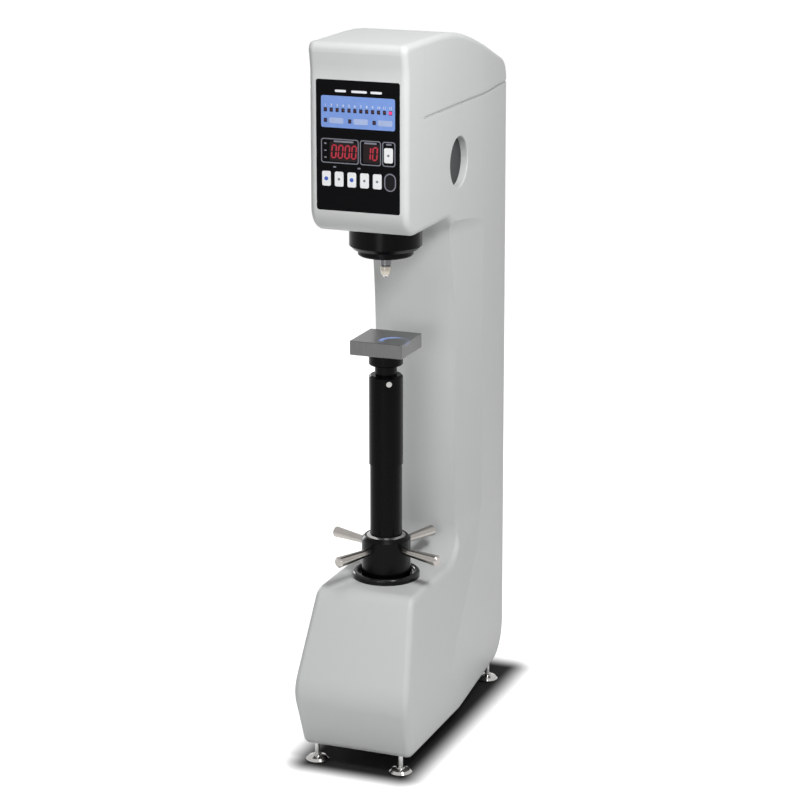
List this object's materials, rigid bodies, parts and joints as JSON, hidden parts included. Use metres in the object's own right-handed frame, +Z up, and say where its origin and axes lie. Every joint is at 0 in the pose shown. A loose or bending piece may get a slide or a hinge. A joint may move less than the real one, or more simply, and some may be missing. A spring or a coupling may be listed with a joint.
{
  "type": "bench Brinell hardness tester",
  "caption": "Bench ball-indentation hardness tester: cast C-frame, keypad head, motor-driven indenter, square anvil on a screw raised by a capstan.",
  "frame": {"origin": "bottom centre of the machine's overall box, on the floor under the levelling pads", "axes": "+Z up, -Y the operator's side with the panel, +X the operator's right"},
  "size_m": [0.2136, 0.5458, 1.15],
  "materials": {
    "shell_paint": "satin pale grey enamel over a filled and sanded iron casting",
    "cover_paint": "satin pale grey enamel on sheet steel",
    "black_screw": "black oxide",
    "bright_screw": "polished cap screw",
    "wiper_steel": "polished cone",
    "plate_zinc": "zinc plated sheet",
    "plate_screw": "zinc plated",
    "port_plug": "fine matt dark grey",
    "panel_face": "satin black printed overlay",
    "readout_window": "dark red transparent window",
    "readout_module": "black segment displays",
    "led_lens": "diffused red lens",
    "board": "green solder mask",
    "shroud_steel": "glossy black oxide, turned",
    "bush_bronze": "machined bronze, oiled",
    "ground_steel": "ground and oiled",
    "machined_plate": "milled",
    "bearing_steel": "ground bearing steel",
    "belt_rubber": "ribbed black rubber",
    "motor_case": "satin black with bare end bells",
    "dust_ring_black": "gloss black",
    "supply_case": "folded sheet",
    "inlet_plastic": "black",
    "rocker_plastic": "black with white switch marks",
    "load_cell_steel": "nickel plated",
    "holder_steel": "turned",
    "cap_steel": "turned, faintly straw coloured by hardening",
    "ball_steel": "polished hard metal",
    "pulley_aluminium": "anodised",
    "anvil_steel": "ground top, dark hardened sides",
    "black_oxide": "black oxide, turned",
    "tube_black": "satin black",
    "capstan_black": "black oxide, turned",
    "bar_steel": "turned bar with oiled dark ends",
    "foot_chrome": "polished",
    "stud_zinc": "zinc plated thread",
    "key_white": "satin white",
    "key_dark": "dark grey with a pale ring"
  },
  "bodies": {
    "frame": {"frame_casting": "shell_paint", "top_rear_cover": "cover_paint", "cover_screws": "black_screw", "bottom_plate": "plate_zinc", "bottom_plate_screws": "plate_screw", "side_port_plugs": "port_plug", "front_panel": "panel_face", "readout_windows": "readout_window", "readout_modules": "readout_module", "indicator_leds": "led_lens", "control_board": "board", "spindle_shroud": "shroud_steel", "spindle_bush": "bush_bronze", "guide_posts": "ground_steel", "bridge_plate": "machined_plate", "ball_screw_bearing": "bearing_steel", "timing_belt": "belt_rubber", "load_motor": "motor_case", "dust_ring": "dust_ring_black", "thrust_bearing": "bearing_steel", "screw_key_bush": "bush_bronze", "power_supply": "supply_case", "power_inlet": "inlet_plastic", "switch_frame": "inlet_plastic"},
    "capstan": {"capstan_nut": "capstan_black", "wiper_ring": "wiper_steel", "lever_bars": "bar_steel", "inner_dust_tube": "tube_black"},
    "middle_tube": {"middle_dust_tube": "tube_black"},
    "screw": {"elevating_screw": "ground_steel", "anvil": "anvil_steel", "anvil_seat": "black_oxide", "outer_dust_tube": "tube_black", "tube_set_screw": "bright_screw"},
    "load_train": {"spindle": "ground_steel", "load_cell": "load_cell_steel", "crosshead": "machined_plate", "ball_nut": "ground_steel", "indenter_holder": "holder_steel", "ball_cap": "cap_steel", "indenter_ball": "ball_steel"},
    "ball_screw_rotor": {"ball_screw": "ground_steel", "driven_pulley": "pulley_aluminium"},
    "motor_rotor": {"motor_pulley": "pulley_aluminium"},
    "rocker": {"power_rocker": "rocker_plastic"},
    "panel_key_1_body": {"panel_key_1": "key_white"},
    "panel_key_2_body": {"panel_key_2": "key_white"},
    "panel_key_3_body": {"panel_key_3": "key_white"},
    "panel_key_4_body": {"panel_key_4": "key_white"},
    "panel_key_5_body": {"panel_key_5": "key_white"},
    "panel_key_6_body": {"panel_key_6": "key_dark"},
    "start_key_body": {"start_key": "key_white"},
    "leveller_front_left": {"foot_front_left": "foot_chrome", "foot_stud_front_left": "stud_zinc"},
    "leveller_front_right": {"foot_front_right": "foot_chrome", "foot_stud_front_right": "stud_zinc"},
    "leveller_rear_left": {"foot_rear_left": "foot_chrome", "foot_stud_rear_left": "stud_zinc"},
    "leveller_rear_right": {"foot_rear_right": "foot_chrome", "foot_stud_rear_right": "stud_zinc"}
  },
  "joints": [
    {"name": "capstan_turn", "type": "hinge", "parent": "frame", "child": "capstan", "pos_m": [0, -0.1192, 0.3], "axis": [0, 0, 1], "range_deg": [-4501, 6901]},
    {"name": "screw_lift", "type": "slide", "parent": "frame", "child": "screw", "axis": [0, 0, 1], "range_m": [-0.115, 0.075]},
    {"name": "middle_tube_lift", "type": "slide", "parent": "frame", "child": "middle_tube", "axis": [0, 0, 1], "range_m": [-0.0575, 0.0375]},
    {"name": "ball_screw_turn", "type": "hinge", "parent": "frame", "child": "ball_screw_rotor", "pos_m": [0, -0.1192, 1.08], "axis": [0, 0, 1], "range_deg": [0, 864.2]},
    {"name": "load_stroke", "type": "slide", "parent": "frame", "child": "load_train", "axis": [0, 0, -1], "range_m": [0, 0.012]},
    {"name": "motor_turn", "type": "hinge", "parent": "frame", "child": "motor_rotor", "pos_m": [0, -0.0012, 1.08], "axis": [0, 0, 1], "range_deg": [0, 2233]},
    {"name": "rocker_tilt", "type": "hinge", "parent": "frame", "child": "rocker", "pos_m": [-0.02, 0.26454, 0.15], "axis": [-1, 0, 0], "range_deg": [0, 14]},
    {"name": "panel_key_1_press", "type": "slide", "parent": "frame", "child": "panel_key_1_body", "axis": [0, 1, 0], "range_m": [0, 0.0008], "stiffness_N_per_m": 1200, "springref_m": -0.0004},
    {"name": "panel_key_2_press", "type": "slide", "parent": "frame", "child": "panel_key_2_body", "axis": [0, 1, 0], "range_m": [0, 0.0008], "stiffness_N_per_m": 1200, "springref_m": -0.0004},
    {"name": "panel_key_3_press", "type": "slide", "parent": "frame", "child": "panel_key_3_body", "axis": [0, 1, 0], "range_m": [0, 0.0008], "stiffness_N_per_m": 1200, "springref_m": -0.0004},
    {"name": "panel_key_4_press", "type": "slide", "parent": "frame", "child": "panel_key_4_body", "axis": [0, 1, 0], "range_m": [0, 0.0008], "stiffness_N_per_m": 1200, "springref_m": -0.0004},
    {"name": "panel_key_5_press", "type": "slide", "parent": "frame", "child": "panel_key_5_body", "axis": [0, 1, 0], "range_m": [0, 0.0008], "stiffness_N_per_m": 1200, "springref_m": -0.0004},
    {"name": "panel_key_6_press", "type": "slide", "parent": "frame", "child": "panel_key_6_body", "axis": [0, 1, 0], "range_m": [0, 0.0008], "stiffness_N_per_m": 1200, "springref_m": -0.0004},
    {"name": "start_key_press", "type": "slide", "parent": "frame", "child": "start_key_body", "axis": [0, 1, 0], "range_m": [0, 0.0008], "stiffness_N_per_m": 1200, "springref_m": -0.0004},
    {"name": "level_front_left", "type": "slide", "parent": "frame", "child": "leveller_front_left", "axis": [0, 0, 1], "range_m": [-0.003, 0.008]},
    {"name": "level_front_right", "type": "slide", "parent": "frame", "child": "leveller_front_right", "axis": [0, 0, 1], "range_m": [-0.003, 0.008]},
    {"name": "level_rear_left", "type": "slide", "parent": "frame", "child": "leveller_rear_left", "axis": [0, 0, 1], "range_m": [-0.003, 0.008]},
    {"name": "level_rear_right", "type": "slide", "parent": "frame", "child": "leveller_rear_right", "axis": [0, 0, 1], "range_m": [-0.003, 0.008]}
  ],
  "couplings": [
    {"joint": "capstan_turn", "follows": "screw_lift", "rad_per_m": -1047.2},
    {"joint": "middle_tube_lift", "follows": "screw_lift", "ratio": 0.5},
    {"joint": "ball_screw_turn", "follows": "load_stroke", "rad_per_m": 1256.6},
    {"joint": "motor_turn", "follows": "load_stroke", "rad_per_m": 3246.3}
  ]
}
